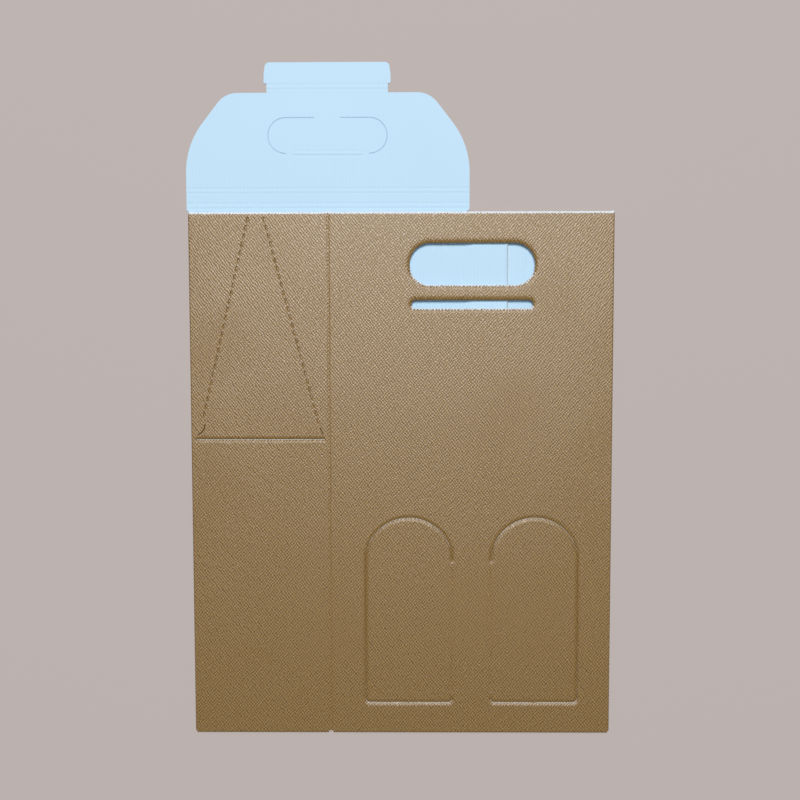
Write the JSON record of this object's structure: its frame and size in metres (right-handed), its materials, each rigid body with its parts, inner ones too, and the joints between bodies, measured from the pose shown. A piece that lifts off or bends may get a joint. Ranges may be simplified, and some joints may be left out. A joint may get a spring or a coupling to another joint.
{
  "type": "bottle gift carton",
  "caption": "Flat-folded card carton for bottles: glued sleeve with hand holes, tab slot, perforated gussets, arched divider doors and a wrap-over lid with a tuck tab.",
  "frame": {"origin": "middle of the whole flat pack's outline, on the surface that it lies on", "axes": "+Y up the carton towards the lid and its tab, +Z out of the front panel, +X to the right as seen from above"},
  "size_m": [0.278, 0.441, 0.0069],
  "materials": {
    "gold_board": "gold paper embossed with a small diamond grain, half gloss",
    "white_liner": "matte bluish white inside liner"
  },
  "bodies": {
    "carton": {"carton_body": "gold_board"},
    "spine": {"lid_spine": "white_liner"},
    "lid": {"lid_panel": "white_liner"},
    "tab": {"tuck_tab": "white_liner"}
  },
  "joints": [
    {"name": "spine_fold", "type": "hinge", "parent": "carton", "child": "spine", "pos_m": [-0.04685, 0.1287, 0.0015], "axis": [1, 0, 0], "range_deg": [0, 90]},
    {"name": "lid_fold", "type": "hinge", "parent": "spine", "child": "lid", "pos_m": [-0.04685, 0.1384, 0.0015], "axis": [1, 0, 0], "range_deg": [0, 80]},
    {"name": "tab_fold", "type": "hinge", "parent": "lid", "child": "tab", "pos_m": [-0.04685, 0.2048, 0.0015], "axis": [1, 0, 0], "range_deg": [0, 90]}
  ]
}
